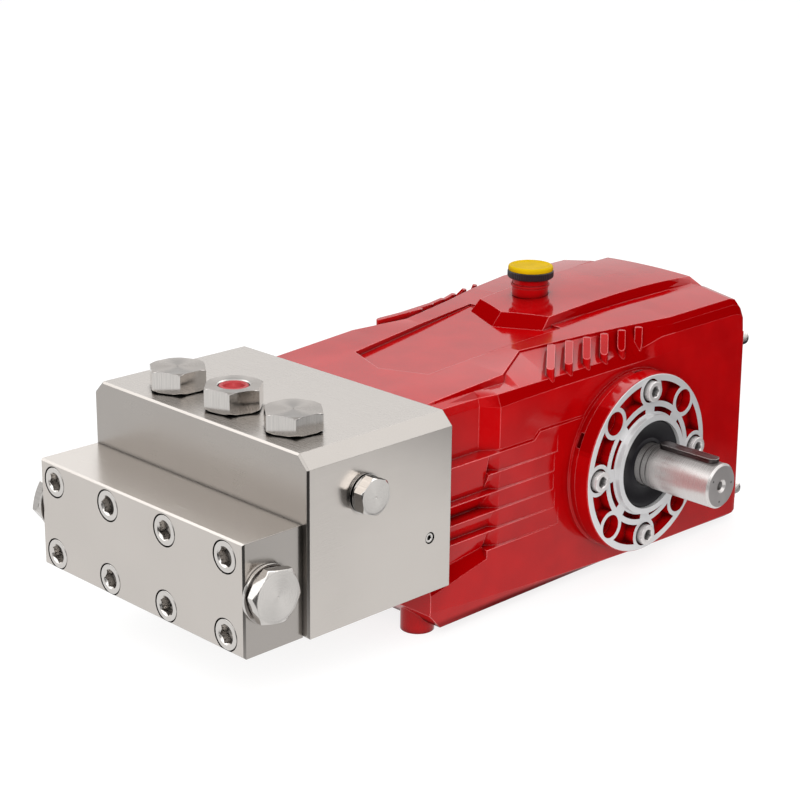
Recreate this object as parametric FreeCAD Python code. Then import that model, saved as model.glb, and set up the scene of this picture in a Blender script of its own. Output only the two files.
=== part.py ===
import FreeCAD, Part
import math
import os

os.makedirs("parts", exist_ok=True)
V = FreeCAD.Vector

# Frame: millimetres, Z up from the floor, X along the drive shaft towards its free end,
# Y from the steel head towards the rear cover. The origin is the middle of the four feet.

# Steel head
head_w = 228.0
head_front_y = -299.2
head_back_y = -166.7
head_bottom_z = 53.2
head_top_z = 180.5
head_edge = 9.3
head_lip = 1.4

# Cover block on the head's front, a little narrower and off the middle as in the picture
block_w = head_w - 7.5
block_mid_x = -1.9
block_depth = 50.0
block_top_z = 132.8
block_lip = 1.3

# Block screws, M14
bolt_mid_x = -3.3
bolt_pitch = block_w * 0.281
bolt_high_z = 119.0
bolt_low_z = 64.8
bolt_head_r = 10.8
bolt_sink_r = 11.6
bolt_shank_r = 7.0
bolt_hole_r = 7.5
bolt_head_h = 14.0
bolt_hex = 12.0
bolt_grip = 10.0
bolt_end_gap = 21.0

# Plugs on the head
plug_mid_x = 3.0
plug_pitch = head_w * 0.27
plug_y = head_front_y + 31.2
plug_flats = 36.0
plug_collar_r = 15.6
plug_collar_h = 1.0
plug_h = 14.5
plug_shank_r = 12.0
plug_shank_h = 18.0
thread_gap = 0.3
end_gap = 1.0
adapter_h = 17.0
adapter_bore_r = 11.0
adapter_bore_h = 9.0
cap_r = 10.7
cap_h = 6.0
cap_dish = 2.3
cap_dish_r = 24.0
side_plug_y = head_front_y + 50.0
side_plug_z = 145.7
side_plug_flats = 26.5
side_plug_h = 11.5
side_collar_r = 14.2
side_collar_h = 2.4
side_shank_r = 9.0
block_plug_out = 31.3
block_plug_z = 95.5
block_plug_h = 9.7
block_collar_r = 18.0
block_collar_h = 1.2
washer_r = 21.5
washer_h = 2.5
screw_y = head_back_y - 19.9
screw_z = 94.2
screw_r = 4.0
screw_sink = 0.5
screw_head_h = 5.0
screw_shank_h = 6.0
screw_hex = 4.0

# Crankcase outline: half widths x and heights z of the corners that run along it
case_front_y = head_back_y
case_rear_y = 198.5
case_bottom_z = 9.2
sump_y = 50.0
sump_end_y = 150.0
sump_z = 3.9
case_round = 6.0
top_round = 14.0
bottom_round = 8.5
rear_lean = 3.8
foot_wall_x = 93.2
low_front_z = 25.5
low_rear_z = 6.5
low_power = 1.8
wall_x = 96.5
wall_step = 1.3
neck_x = 86.5
neck_top_z = 165.6
flare_start_y = -110.0
flare_end_y = -96.5
flare_top_z = 164.0
wall_front_z = 164.8
wall_top_z = 166.6
wall_rear_z = 162.3
shoulder_x = 91.5
shoulder_z = 173.2
shoulder_neck_x = 85.2
shoulder_rear_x = 95.4
shoulder_rear_z = 181.0

# Upper panel: its edge runs straight, steps in at the ridge, turns at the kink and widens again
panel_x = 79.2
panel_front_z = 175.4
ridge_y = -78.0
ridge_z = 181.5
ridge_end_y = -72.5
kink_y = -38.5
kink_x = 59.4
kink_z = 187.2
panel_mid_y = 20.0
panel_mid_x = 69.8
panel_mid_z = 189.7
panel_far_y = 58.0
panel_far_x = 79.0
panel_far_z = 191.3
widen_y = 88.0
widen_end_y = 105.0
panel_rear_x = 88.2
panel_wide_z = 192.0
panel_rear_z = 192.8
shelf_z = 175.5
shelf_out = 1.6
edge_out = 1.2
edge_drop = 1.8
corner_out = 4.2
corner_drop = 4.4
crown_front_x = 42.0
crown_rear_x = 59.0
crown_front_z = 174.3
crown_rear_z = 197.6
crown_power = 1.7
front_corner = 13.5

# Side fins: level top ledges, each face leaning inwards down to the next ledge
fin_top_z = 130.6
fin_pitch = 14.65
ledge_drop = 1.7
fin_jog_y = -60.5
fin_jog_end_y = -53.9
fin_jog_z = 136.3
fin_fade_r = 88.0
fin_step = 1.6
fin_start_y = -109.0
fin_shallow = 5.5
fin_medium = 7.0
bay_low_depth = 5.0
bay_low_z = 52.0
bay_end_z = 38.0
bay_end_rise = 13.0

# Raised prow platform with a softly domed top, and the trough in front of it
prow_tip_y = -3.0
prow_corner_y = 12.0
prow_x = 38.0
prow_rear_x = 51.5
prow_front_z = 187.5
prow_rear_z = 196.0
prow_top_x = 36.5
prow_top_rear_x = 43.5
prow_slant = 9.0
prow_rear_slant = 4.0
prow_height = 9.2
prow_rear_height = 6.2
prow_root = 2.0
dome_y = 150.0
dome_z = 204.2
dome_across_r = 645.0
dome_along_r = 1412.0
trough_tip_y = -126.5
trough_corner_y = -113.5
trough_front_x = 38.8
trough_rear_x = 48.0
trough_end_y = prow_corner_y + 10.0
floor_front_z = 174.3
floor_rear_z = 188.2

# Diagonal ribs on the shoulders
rib_count = 6
rib_first_y = -37.7
rib_pitch = 20.5
rib_width = 6.0
rib_outer_x = 90.0
rib_run = 20.0
rib_shrink = 3.5
rib_slope = 1.172
rib_outer_z = 181.0
rib_proud = 0.7
rib_sink = 0.3
rib_root_z = 166.0

# Feet
foot_x = 67.0
foot_y = 150.0
foot_r = 12.6
foot_hole_r = 4.3
foot_hole_depth = 22.0

# Drive side
shaft_y = 50.4
shaft_z = 91.3
flange_face_x = 116.0
flange_t = 13.4
flange_r = 71.0
flange_edge = 0.8
flange_seat_x = flange_face_x - flange_t
boss_r = 70.0
boss_root_x = 60.0
flare_r = 72.6
flare_w = 2.6
stud_ring_r = 58.5
land_r = 12.7
open_hole_r = 9.3
sink_r = 9.5
pocket_in_r = 49.5
pocket_out_r = 65.3
pocket_depth = 9.0
slot_in_r = 41.0
slot_out_r = 45.0
slot_angle = 31.0
hub_bore_r = 35.0
hub_out_r = 39.4
hub_proud = 4.8
notch_depth = 5.0
notch_w = 3.4
notch_angle = 9.5
notch_at = (87, 155)
m10_head_r = 8.0
m10_head_h = 10.0
m10_shank_r = 5.0
m10_hole_r = 5.5
m10_proud = 4.6
m10_hex = 8.0
m10_shank_l = 26.0
m10_hole_depth = 24.0
seal_gap = 0.2
seal_t = 9.0
seal_face_x = flange_face_x + 2.3
seal_dish = 2.5
seal_lip = 3.0
running_gap = 0.05

# Drive shaft: 35 mm with a 10 mm key
shaft_r = 17.5
shaft_neck_r = 16.7
shaft_end_x = 186.1
shaft_start_x = 66.0
shaft_step_x = 126.6
shaft_step_w = 1.4
shaft_chamfer = 1.6
shaft_bore_r = 24.0
end_hole_r = 3.4
end_hole_depth = 22.0
end_cone_r = 5.2
end_cone_h = 1.8
key_w = 10.0
key_h = 8.0
key_sink = 5.0
key_start_x = 128.4
key_end_x = 181.4

# Oil filler, left of the middle as in the picture
filler_x = -12.0
filler_y = 53.0
neck_r = 14.4
neck_h = 13.6
collar_r = 15.4
collar_h = 2.2
collar_up = 7.4
filler_ring_r = 18.4
filler_ring_h = 6.1
filler_cap_h = 4.1
filler_inset = 0.5
filler_round = 1.6
seat_depth = 0.6

# Rear cover
cover_t = 5.5
cover_inset = 0.5
cover_bolt_inset = 13.0
cover_low_z = 21.5
cover_high_z = 154.0
cover_margin = 5.5
m8_head_r = 6.5
m8_head_h = 8.0
m8_shank_r = 4.0
m8_hole_r = 4.2
m8_hex = 6.0

up = V(0, 0, 1)
right = V(1, 0, 0)
back = V(0, 1, 0)
# turns a drawing round Z to the drive side: its X goes on Y, its Y on Z
facing = FreeCAD.Rotation(back, up, right, "ZXY")


def box(x0, x1, y0, y1, z0, z1):
    return Part.makeBox(x1 - x0, y1 - y0, z1 - z0, V(x0, y0, z0))


def rod(r, length, base, axis):
    return Part.makeCylinder(r, length, base, axis)


def face_of(points):
    return Part.Face(Part.makePolygon(points + points[:1]))


def ring(r_out, r_in, length, base, axis):
    return rod(r_out, length, base, axis).cut(rod(r_in, length, base, axis))


def mirrored(shape):
    return shape.mirror(V(0, 0, 0), right)


def both_sides(shape):
    return [shape, mirrored(shape)]


def loft(outlines):
    wires = [Part.makePolygon(points + points[:1]) for points in outlines]
    return Part.makeLoft(wires, True, True)


def polar(r, degrees, z=0.0):
    a = math.radians(degrees)
    return V(r * math.cos(a), r * math.sin(a), z)


def turned(shape, base, axis):
    # moves a shape drawn round Z from the origin to a new base and axis
    shape.Placement = FreeCAD.Placement(base, FreeCAD.Rotation(up, axis))
    return shape


def hexagon(flats, z, height, turn):
    r = flats / 2 / math.cos(math.radians(30))
    return face_of([polar(r, 60 * i + turn, z) for i in range(6)]).extrude(V(0, 0, height))


def save(shape, name):
    shape.exportStep("parts/" + name + ".step")


def socket_screw(head_r, head_h, shank_r, shank_l, flats, base, axis):
    # base is the underside of the head, axis points out of the work
    screw = rod(head_r, head_h, V(0, 0, 0), up)
    rim = [e for e in screw.Edges if e.BoundBox.ZMin > head_h * 0.99]
    screw = screw.makeChamfer(head_r * 0.08, rim)
    screw = screw.fuse(rod(shank_r, shank_l, V(0, 0, -shank_l), up))
    screw = screw.cut(hexagon(flats, head_h * 0.45, head_h, 15))
    return turned(screw, base, axis)


def hex_plug(flats, height, collar_r, collar_h, shank_r, turn):
    # hexagon with its corners turned off by a cone at both ends, on a round collar and a plain shank
    hex_h = height - collar_h
    corner_r = flats / 2 / math.cos(math.radians(30))
    bar = hexagon(flats, collar_h, hex_h, turn)
    narrow = corner_r * 0.9
    for z, axis in ((collar_h, up), (height, -up)):
        bar = bar.common(Part.makeCone(narrow, narrow + hex_h * 1.7, hex_h, V(0, 0, z), axis))
    bar = bar.fuse(rod(collar_r, collar_h, V(0, 0, 0), up))
    return bar.fuse(rod(shank_r, plug_shank_h, V(0, 0, -plug_shank_h), up))


# Crankcase body
def along(y):
    # 1 at the head, 0 at the rear
    return (case_rear_y - y) / (case_rear_y - case_front_y)


def between(y, stops):
    # straight lines through the stops, each (y, value, value, ...)
    for a, b in zip(stops, stops[1:]):
        if y <= b[0] or b is stops[-1]:
            t = (y - a[0]) / (b[0] - a[0])
            return [u + (w - u) * t for u, w in zip(a[1:], b[1:])]


def crown_z(y):
    return crown_rear_z - (crown_rear_z - crown_front_z) * max(0.0, along(y)) ** crown_power


def crown_x(y):
    return between(y, [(case_front_y, crown_front_x), (prow_corner_y, crown_front_x), (case_rear_y, crown_rear_x)])[0]


def edge(y):
    # the upper panel's edge (x, z)
    stops = [(case_front_y, panel_x, panel_front_z), (ridge_y, panel_x, ridge_z), (kink_y, kink_x, kink_z)]
    stops += [(panel_mid_y, panel_mid_x, panel_mid_z), (panel_far_y, panel_far_x, panel_far_z)]
    stops += [(widen_end_y, panel_rear_x, panel_wide_z), (case_rear_y, panel_rear_x, panel_rear_z)]
    return between(y, stops)


def bottom_z(y):
    # level in front, a little deeper at the rear
    stops = [(case_front_y, case_bottom_z), (sump_y, case_bottom_z), (sump_end_y, sump_z), (case_rear_y, sump_z)]
    return between(y, stops)[0]


def low_z(y):
    return low_rear_z + (low_front_z - low_rear_z) * max(0.0, along(y)) ** low_power


def ledge_z(y):
    return fin_top_z if y <= fin_jog_y else fin_jog_z


def section(y, wall, wall_top, shoulder, step, inset=0.0, drop=0.0, rise=0.0, lean=0.0):
    # closed outline of the casting at one Y: the right half from the floor up, then its mirror
    half = [(foot_wall_x, bottom_z(y) + rise), (wall_x, low_z(y) + rise)]
    half += [(wall_x, ledge_z(y)), (wall, ledge_z(y) + ledge_drop), (wall, wall_top - drop)]
    half += [(shoulder[0], shoulder[1] - drop), (step[0], step[1] - drop)]
    half += [(edge(y)[0], edge(y)[1] - drop), (crown_x(y), crown_z(y) - drop)]
    side = [V(x - inset, y + lean * (1 - z / wall_rear_z), z) for x, z in half]
    return side + [V(-p.x, p.y, p.z) for p in reversed(side)]


inner_wall_x = wall_x - wall_step
neck_corner = (shoulder_neck_x, shoulder_z - 1.6)
neck_shelf = (panel_x + shelf_out, shelf_z - 0.9)
front_shoulder = (shoulder_x, shoulder_z)
shelf = (panel_x + shelf_out, shelf_z)
rear_shoulder = (shoulder_rear_x, shoulder_rear_z)


def foot_of_edge(y):
    return (edge(y)[0] + edge_out, edge(y)[1] - edge_drop)


def rounded_corner(y):
    return (edge(y)[0] + corner_out, edge(y)[1] - corner_drop)


sections = [
    section(case_front_y, neck_x, neck_top_z, neck_corner, neck_shelf),
    section(flare_start_y, neck_x, neck_top_z, neck_corner, shelf),
    section(flare_end_y, inner_wall_x, flare_top_z, front_shoulder, shelf),
    section(ridge_y, inner_wall_x, wall_front_z, front_shoulder, shelf)]
for y in (ridge_end_y, fin_jog_y, fin_jog_end_y, kink_y):
    sections.append(section(y, inner_wall_x, wall_front_z + (y - ridge_y) / 50, front_shoulder, foot_of_edge(y)))
for y in (panel_mid_y, panel_far_y):
    sections.append(section(y, wall_x, wall_top_z, front_shoulder, foot_of_edge(y)))
for y in (widen_y, widen_end_y):
    sections.append(section(y, wall_x, wall_top_z, rear_shoulder, rounded_corner(y)))


def rounded(r, y):
    # how far a rear edge of radius r has turned in at this Y
    into = max(0.0, y - (case_rear_y - r))
    return r - math.sqrt(r ** 2 - into ** 2)


for degrees in (0, 30, 50, 70, 90):
    # the rear edges roll over: a large round on top, smaller ones at the sides and below
    y = case_rear_y - top_round * (1 - math.sin(math.radians(degrees)))
    sections.append(section(y, wall_x, wall_rear_z, rear_shoulder, rounded_corner(y),
                            rounded(case_round, y), rounded(top_round, y), rounded(bottom_round, y), rear_lean))
case = loft(sections)

# Front bottom corner cut off under the head
corner = [V(-wall_x, case_front_y + front_corner, case_bottom_z), V(-wall_x, case_front_y, case_bottom_z)]
corner.append(V(-wall_x, case_front_y, case_bottom_z + front_corner))
case = case.cut(face_of(corner).extrude(V(2 * wall_x, 0, 0)))


# Fins
def bay(stops):
    # one gap between two fins; each stop is (y, top z, inner x, inner z, lower z)
    outlines = []
    for y, top, x, z, low in stops:
        out = wall_x + wall_step
        outlines.append([V(out, y, top), V(wall_x, y, top), V(x, y, z), V(wall_x, y, low), V(out, y, low)])
    return loft(outlines)


def fade_y(z):
    # the fins fade out on a circle round the shaft
    return shaft_y - math.sqrt(fin_fade_r ** 2 - (z - shaft_z) ** 2)


def fin_z(i):
    return fin_top_z - i * fin_pitch


# how far in each ledge reaches, from the second to the sixth
ledge_x = [wall_x - fin_medium, wall_x - fin_shallow, neck_x, wall_x - fin_shallow, wall_x - fin_medium]
bays = []
head_end = case_front_y - end_gap
for i, x in enumerate(ledge_x):
    top, low = fin_z(i), fin_z(i + 1)
    inner = low + ledge_drop
    meet_y = flare_start_y + (flare_end_y - flare_start_y) * (x - neck_x) / (wall_x - neck_x)
    stops = [(fin_start_y, top, x, inner, low)]
    if meet_y > fin_start_y:
        stops.append((meet_y, top, x, inner, low))
    stops.append((flare_end_y, top, wall_x - fin_step, low + ledge_drop / 2, low))
    stops.append((fade_y(low), top, wall_x - fin_step / 8, low + ledge_drop / 4, low))
    bays.append(bay(stops))

# Nearer the head the second and sixth fins are missing, so the faces run on further
for first, last in ((0, 2), (2, 3), (3, 4)):
    low = fin_z(last)
    bays.append(bay([(y, fin_z(first), ledge_x[last - 1], low + ledge_drop, low)
                     for y in (head_end, fin_start_y)]))
low_x = wall_x - bay_low_depth
bays.append(bay([(head_end, fin_z(4), low_x, bay_low_z, bay_end_z),
                 (fin_start_y, fin_z(4), low_x, fin_z(5) + ledge_drop, bay_end_z + bay_end_rise)]))
for gap in bays:
    case = case.cut(both_sides(gap))

# Trough: shallow recess in front of the platform, its floor rising towards the rear
floor_slope = (floor_rear_z - floor_front_z) / (prow_corner_y - trough_tip_y)


def floor_z(y):
    return floor_front_z + (y - trough_tip_y) * floor_slope


plan = [(0, trough_tip_y), (trough_front_x, trough_corner_y), (trough_rear_x, trough_end_y)]
plan += [(-trough_rear_x, trough_end_y), (-trough_front_x, trough_corner_y)]
case = case.cut(face_of([V(x, y, floor_z(y)) for x, y in plan]).extrude(V(0, 0, crown_front_x)))

# Platform: pointed prow with slanted faces, drawn up from its root and cut off by the domed top
prow_end_y = case_rear_y - case_round


def prow_outline(height, rear_height):
    # the outline at a height over the foot line, by the slant of each face
    up_front = height / prow_height
    up_rear = rear_height / prow_rear_height
    front_z = prow_front_z + height
    rear_z = prow_rear_z + rear_height
    x = prow_x + (prow_top_x - prow_x) * up_front
    rear_x = prow_rear_x + (prow_top_rear_x - prow_rear_x) * up_rear
    tip = (0, prow_tip_y + prow_slant * up_front)
    corner = (x, prow_corner_y + prow_slant * up_front)
    end = (rear_x, prow_end_y - prow_rear_slant * up_rear)
    slope = (rear_z - front_z) / (end[1] - tip[1])
    points = [tip, corner, end, (-end[0], end[1]), (-corner[0], corner[1])]
    return [V(x, y, front_z + (y - tip[1]) * slope) for x, y in points]


prow = loft([prow_outline(-prow_root, -prow_root), prow_outline(prow_height * 2, prow_rear_height * 2)])
dome_base = V(0, dome_y, dome_z - dome_along_r)
prow = prow.common(Part.makeTorus(dome_along_r - dome_across_r, dome_across_r, dome_base, right))
case = case.fuse(prow)


def dome_top(x, y):
    # height of the domed top over one spot
    across = dome_across_r - math.sqrt(dome_across_r ** 2 - x ** 2)
    lie = math.sqrt((dome_along_r - across) ** 2 - (y - dome_y) ** 2)
    return dome_z - dome_along_r + lie


# Ribs: round-ended bars running inwards and back, each a little shorter than the one before
ribs = []
for i in range(rib_count):
    run = rib_run - i * rib_shrink
    outer = V(rib_outer_x, rib_first_y + i * rib_pitch, rib_outer_z)
    flat = V(-run, run * rib_slope, 0)
    length = flat.Length
    inner_z = edge(outer.y + flat.y)[1] + rib_proud - i * rib_sink
    rise = V(0, 0, inner_z - rib_outer_z)
    side = V(flat.y, -flat.x, 0) * (rib_width / 2 / length)
    base = V(outer.x, outer.y, rib_root_z)
    bar = face_of([base + side, base - side, base - side + flat, base + side + flat])
    bar = bar.extrude(V(0, 0, inner_z - rib_root_z))
    bar = bar.fuse([rod(rib_width / 2, inner_z - rib_root_z, p, up) for p in (base, base + flat)])
    # the sloping top, drawn longer and wider than the rib
    over = (flat + rise) * (rib_width / length)
    low = outer - over
    high = outer + flat + rise + over
    lid = face_of([low + side * 2, low - side * 2, high - side * 2, high + side * 2])
    ribs += both_sides(bar.cut(lid.extrude(V(0, 0, rib_root_z))))
case = case.fuse(ribs)

# Round bosses for the shaft bearings, flared where they leave the wall
root = V(boss_root_x, shaft_y, shaft_z)
boss = rod(boss_r, flange_seat_x - boss_root_x, root, right)
foot_ring = Part.makeCone(flare_r, boss_r, flare_w, V(wall_x - wall_step, shaft_y, shaft_z), right)
root_ring = rod(flare_r, wall_x - wall_step - boss_root_x, root, right)
case = case.fuse(both_sides(boss) + both_sides(foot_ring) + both_sides(root_ring))
case = case.cut(rod(shaft_bore_r, flange_seat_x - boss_root_x, root, right))
for degrees in notch_at:
    # jacking notches in the rim, against the flange
    notch = Part.makeCylinder(boss_r, notch_w, V(0, 0, 0), up, notch_angle)
    notch.rotate(V(0, 0, 0), up, degrees - notch_angle / 2)
    notch = notch.cut(rod(boss_r - notch_depth, notch_w, V(0, 0, 0), up))
    notch.Placement = FreeCAD.Placement(V(flange_seat_x - notch_w, shaft_y, shaft_z), facing).multiply(notch.Placement)
    case = case.cut(both_sides(notch))

# Feet, with threaded holes from below
for sx in (-1, 1):
    for sy in (-1, 1):
        at = V(sx * foot_x, sy * foot_y, 0)
        case = case.fuse(rod(foot_r, low_front_z, at, up))
        case = case.cut(rod(foot_hole_r, foot_hole_depth, at, up))

# Threaded holes for the flange screws, and the seat of the oil filler
for i in range(4):
    at = polar(stud_ring_r, 90 * i)
    hole = rod(m10_hole_r, m10_hole_depth, V(flange_seat_x, shaft_y + at.x, shaft_z + at.y), -right)
    case = case.cut(both_sides(hole))
filler_seat_z = dome_top(filler_x, filler_y) - seat_depth
case = case.cut(rod(neck_r + thread_gap, neck_h, V(filler_x, filler_y, filler_seat_z), up))
save(case.removeSplitter(), "crankcase")


# Bearing flange: ribbed ring with eight lands, pockets between them and narrow slots
def bearing_flange():
    plate = rod(flange_r, flange_t, V(0, 0, 0), up)
    plate = plate.makeChamfer(flange_edge, [e for e in plate.Edges if e.BoundBox.ZLength < flange_edge])
    plate = plate.fuse(rod(hub_out_r, flange_t + hub_proud, V(0, 0, 0), up))
    plate = plate.cut(rod(hub_bore_r, flange_t + hub_proud, V(0, 0, 0), up))
    floor = V(0, 0, flange_t - pocket_depth)
    band = ring(pocket_out_r, pocket_in_r, pocket_depth, floor, up)
    slots = ring(slot_out_r, slot_in_r, pocket_depth, floor, up)
    web = (45.0 - slot_angle) / 2
    for i in range(8):
        band = band.cut(rod(land_r, pocket_depth, polar(stud_ring_r, 45 * i, floor.z), up))
        wedge = Part.makeCylinder(pocket_in_r, pocket_depth, floor, up, web * 2)
        wedge.rotate(V(0, 0, 0), up, 45 * i - web)
        slots = slots.cut(wedge)
    plate = plate.cut([band, slots])
    for i in range(8):
        if i % 2:
            # open holes, right through
            plate = plate.cut(rod(open_hole_r, flange_t, polar(stud_ring_r, 45 * i), up))
        else:
            seat = flange_t - (m10_head_h - m10_proud)
            plate = plate.cut(rod(m10_hole_r, flange_t, polar(stud_ring_r, 45 * i), up))
            plate = plate.cut(rod(sink_r, flange_t, polar(stud_ring_r, 45 * i, seat), up))
    return plate


flange = bearing_flange()
flange.Placement = FreeCAD.Placement(V(flange_seat_x, shaft_y, shaft_z), facing)
save(flange, "bearing_flange_right")
save(mirrored(flange), "bearing_flange_left")

screws = []
for i in range(4):
    at = polar(stud_ring_r, 90 * i)
    under = V(flange_face_x - (m10_head_h - m10_proud), shaft_y + at.x, shaft_z + at.y)
    screws.append(socket_screw(m10_head_r, m10_head_h, m10_shank_r, m10_shank_l, m10_hex, under, right))
save(Part.makeCompound(screws), "flange_bolts_right")
save(mirrored(Part.makeCompound(screws)), "flange_bolts_left")

seal_back = V(seal_face_x - seal_t, shaft_y, shaft_z)
seal = ring(hub_bore_r - seal_gap, shaft_neck_r + running_gap, seal_t, seal_back, right)
dish_back = V(seal_face_x - seal_dish, shaft_y, shaft_z)
dish = Part.makeCone(shaft_r + seal_lip, hub_bore_r - seal_lip, seal_dish, dish_back, right)
save(seal.cut(dish), "shaft_seal")
save(rod(hub_bore_r - seal_gap, seal_t, -seal_back.x * right + V(0, shaft_y, shaft_z), -right), "bearing_cap_left")


# Drive shaft with its key
def on_axis(x):
    return V(x, shaft_y, shaft_z)


shaft = rod(shaft_r, shaft_end_x - shaft_start_x, on_axis(shaft_start_x), right)
rim = [e for e in shaft.Edges if e.BoundBox.XMin > shaft_end_x - shaft_step_w]
shaft = shaft.makeChamfer(shaft_chamfer, rim)
neck_start_x = seal_back.x - end_gap
neck_l = shaft_step_x - neck_start_x
shaft = shaft.cut(ring(shaft_r * 2, shaft_neck_r, neck_l, on_axis(neck_start_x), right))
lead = rod(shaft_r * 2, shaft_step_w, on_axis(shaft_step_x), right)
lead = lead.cut(Part.makeCone(shaft_neck_r, shaft_r, shaft_step_w, on_axis(shaft_step_x), right))
shaft = shaft.cut(lead)
shaft = shaft.cut(rod(end_hole_r, end_hole_depth, on_axis(shaft_end_x - end_hole_depth), right))
cone_back = on_axis(shaft_end_x - end_cone_h)
shaft = shaft.cut(Part.makeCone(end_hole_r, end_cone_r, end_cone_h, cone_back, right))
key_low_z = shaft_z + shaft_r - key_sink
key_ends = (key_start_x + key_w / 2, key_end_x - key_w / 2)
key = box(key_ends[0], key_ends[1], shaft_y - key_w / 2, shaft_y + key_w / 2, key_low_z, key_low_z + key_h)
key = key.fuse([rod(key_w / 2, key_h, V(x, shaft_y, key_low_z), up) for x in key_ends]).removeSplitter()
save(shaft.cut(key), "drive_shaft")
save(key, "shaft_key")

# Head and cover block
head = box(-head_w / 2, head_w / 2, head_front_y, head_back_y, head_bottom_z, head_top_z)
for side in (-head_w / 2, head_w / 2):
    inner = side - math.copysign(head_edge, side)
    corner = [V(side, head_front_y, head_top_z), V(inner, head_front_y, head_top_z)]
    corner.append(V(side, head_front_y, head_top_z - head_edge))
    head = head.cut(face_of(corner).extrude(V(0, head_back_y - head_front_y, 0)))
head = head.makeChamfer(head_lip, [e for e in head.Edges if e.BoundBox.YMax < head_front_y + head_lip])
block_front_y = head_front_y - block_depth
block_left = block_mid_x - block_w / 2
block = box(block_left, block_left + block_w, block_front_y, head_front_y, head_bottom_z, block_top_z)
block = block.makeChamfer(block_lip, [e for e in block.Edges if e.BoundBox.YMax < block_front_y + block_lip])

screws = []
for i in range(4):
    for z in (bolt_low_z, bolt_high_z):
        at = V(bolt_mid_x + (i - 1.5) * bolt_pitch, block_front_y, z)
        sink = rod(bolt_sink_r, bolt_head_h, at, back)
        hole = rod(bolt_hole_r, block_depth + bolt_grip + bolt_end_gap, at, back)
        block = block.cut([sink, hole])
        head = head.cut(hole)
        under = at + back * bolt_head_h
        screws.append(socket_screw(bolt_head_r, bolt_head_h, bolt_shank_r, block_depth + bolt_grip,
                                   bolt_hex, under, -back))
save(Part.makeCompound(screws), "front_bolts")

# Plugs: each cuts its own bore, so that bore and shank keep to one place
bore_h = plug_shank_h + end_gap


def bore_for(shank_r, at, axis):
    return rod(shank_r + thread_gap, bore_h, at, -axis)


top_spots = {"top_plug_left": (-plug_pitch, 26), "outlet_adapter": (0, 12.5), "top_plug_right": (plug_pitch, 23)}
for name, (offset, turn) in top_spots.items():
    at = V(plug_mid_x + offset, plug_y, head_top_z)
    head = head.cut(bore_for(plug_shank_r, at, up))
    height = adapter_h if name == "outlet_adapter" else plug_h
    plug = turned(hex_plug(plug_flats, height, plug_collar_r, plug_collar_h, plug_shank_r, turn), at, up)
    if name == "outlet_adapter":
        port_floor = at + up * (adapter_h - adapter_bore_h)
        plug = plug.cut(rod(adapter_bore_r, adapter_bore_h, port_floor, up))
        cap = rod(cap_r, cap_h, port_floor, up)
        dish = Part.makeSphere(cap_dish_r, port_floor + up * (cap_h + cap_dish_r - cap_dish))
        save(cap.cut(dish), "port_cap")
    save(plug, name)

small = []
for name, out in (("right", right), ("left", -right)):
    at = V(out.x * head_w / 2, side_plug_y, side_plug_z)
    head = head.cut(bore_for(side_shank_r, at, out))
    plug = hex_plug(side_plug_flats, side_plug_h, side_collar_r, side_collar_h, side_shank_r, 10)
    save(turned(plug, at, out), "side_plug_" + name)

    at = V(block_mid_x + out.x * block_w / 2, head_front_y - block_plug_out, block_plug_z)
    block = block.cut(bore_for(plug_shank_r, at, out))
    save(ring(washer_r, plug_shank_r + thread_gap, washer_h, at, out), "block_washer_" + name)
    plug = hex_plug(plug_flats, block_plug_h, block_collar_r, block_collar_h, plug_shank_r, 20)
    save(turned(plug, at + out * washer_h, out), "block_plug_" + name)

    under = V(out.x * (head_w / 2 - screw_sink - screw_head_h), screw_y, screw_z)
    hole_h = screw_head_h + screw_shank_h + end_gap
    head = head.cut(rod(screw_r + thread_gap, hole_h, under + out * (screw_head_h + screw_sink), -out))
    small.append(socket_screw(screw_r, screw_head_h, screw_r, screw_shank_h, screw_hex, under, out))
save(Part.makeCompound(small), "side_screws")
save(head, "pump_head")
save(block, "front_block")

# Oil filler standing in its seat on the platform
neck = rod(neck_r, neck_h + seat_depth, V(filler_x, filler_y, filler_seat_z), up)
neck = neck.fuse(rod(collar_r, collar_h, V(filler_x, filler_y, filler_seat_z + collar_up), up))
save(neck, "filler_neck")
ring_low_z = filler_seat_z + seat_depth + neck_h
save(rod(filler_ring_r, filler_ring_h, V(filler_x, filler_y, ring_low_z), up), "filler_ring")
lid = rod(filler_ring_r - filler_inset, filler_cap_h, V(filler_x, filler_y, ring_low_z + filler_ring_h), up)
rim = [e for e in lid.Edges if e.BoundBox.ZMin > ring_low_z + filler_ring_h + filler_cap_h / 2]
save(lid.makeFillet(filler_round, rim), "filler_cap")

# Rear cover with its screws, flat on the leaning rear face
rear_out = V(0, 1, rear_lean / wall_rear_z)
rear_out.normalize()


def on_rear(x, z):
    return V(x, case_rear_y + rear_lean * (1 - z / wall_rear_z), z)


cover_x = wall_x - case_round - cover_inset
cover_top_z = wall_rear_z - cover_inset
cover_bottom_z = case_bottom_z + cover_margin
corners = [on_rear(x, z) for x, z in ((-cover_x, cover_bottom_z), (cover_x, cover_bottom_z),
                                      (cover_x, cover_top_z), (-cover_x, cover_top_z))]
cover = face_of(corners).extrude(rear_out * cover_t)
screws = []
for x in (cover_bolt_inset - wall_x, 0, wall_x - cover_bolt_inset):
    for z in (cover_low_z, cover_high_z):
        at = on_rear(x, z)
        cover = cover.cut(rod(m8_hole_r, cover_t, at, rear_out))
        screws.append(socket_screw(m8_head_r, m8_head_h, m8_shank_r, cover_t, m8_hex,
                                   at + rear_out * cover_t, rear_out))
save(cover, "rear_cover")
save(Part.makeCompound(screws), "rear_cover_bolts")
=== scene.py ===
import bmesh
import bpy
import math
import numpy as np
from mathutils import Matrix, Vector


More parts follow.
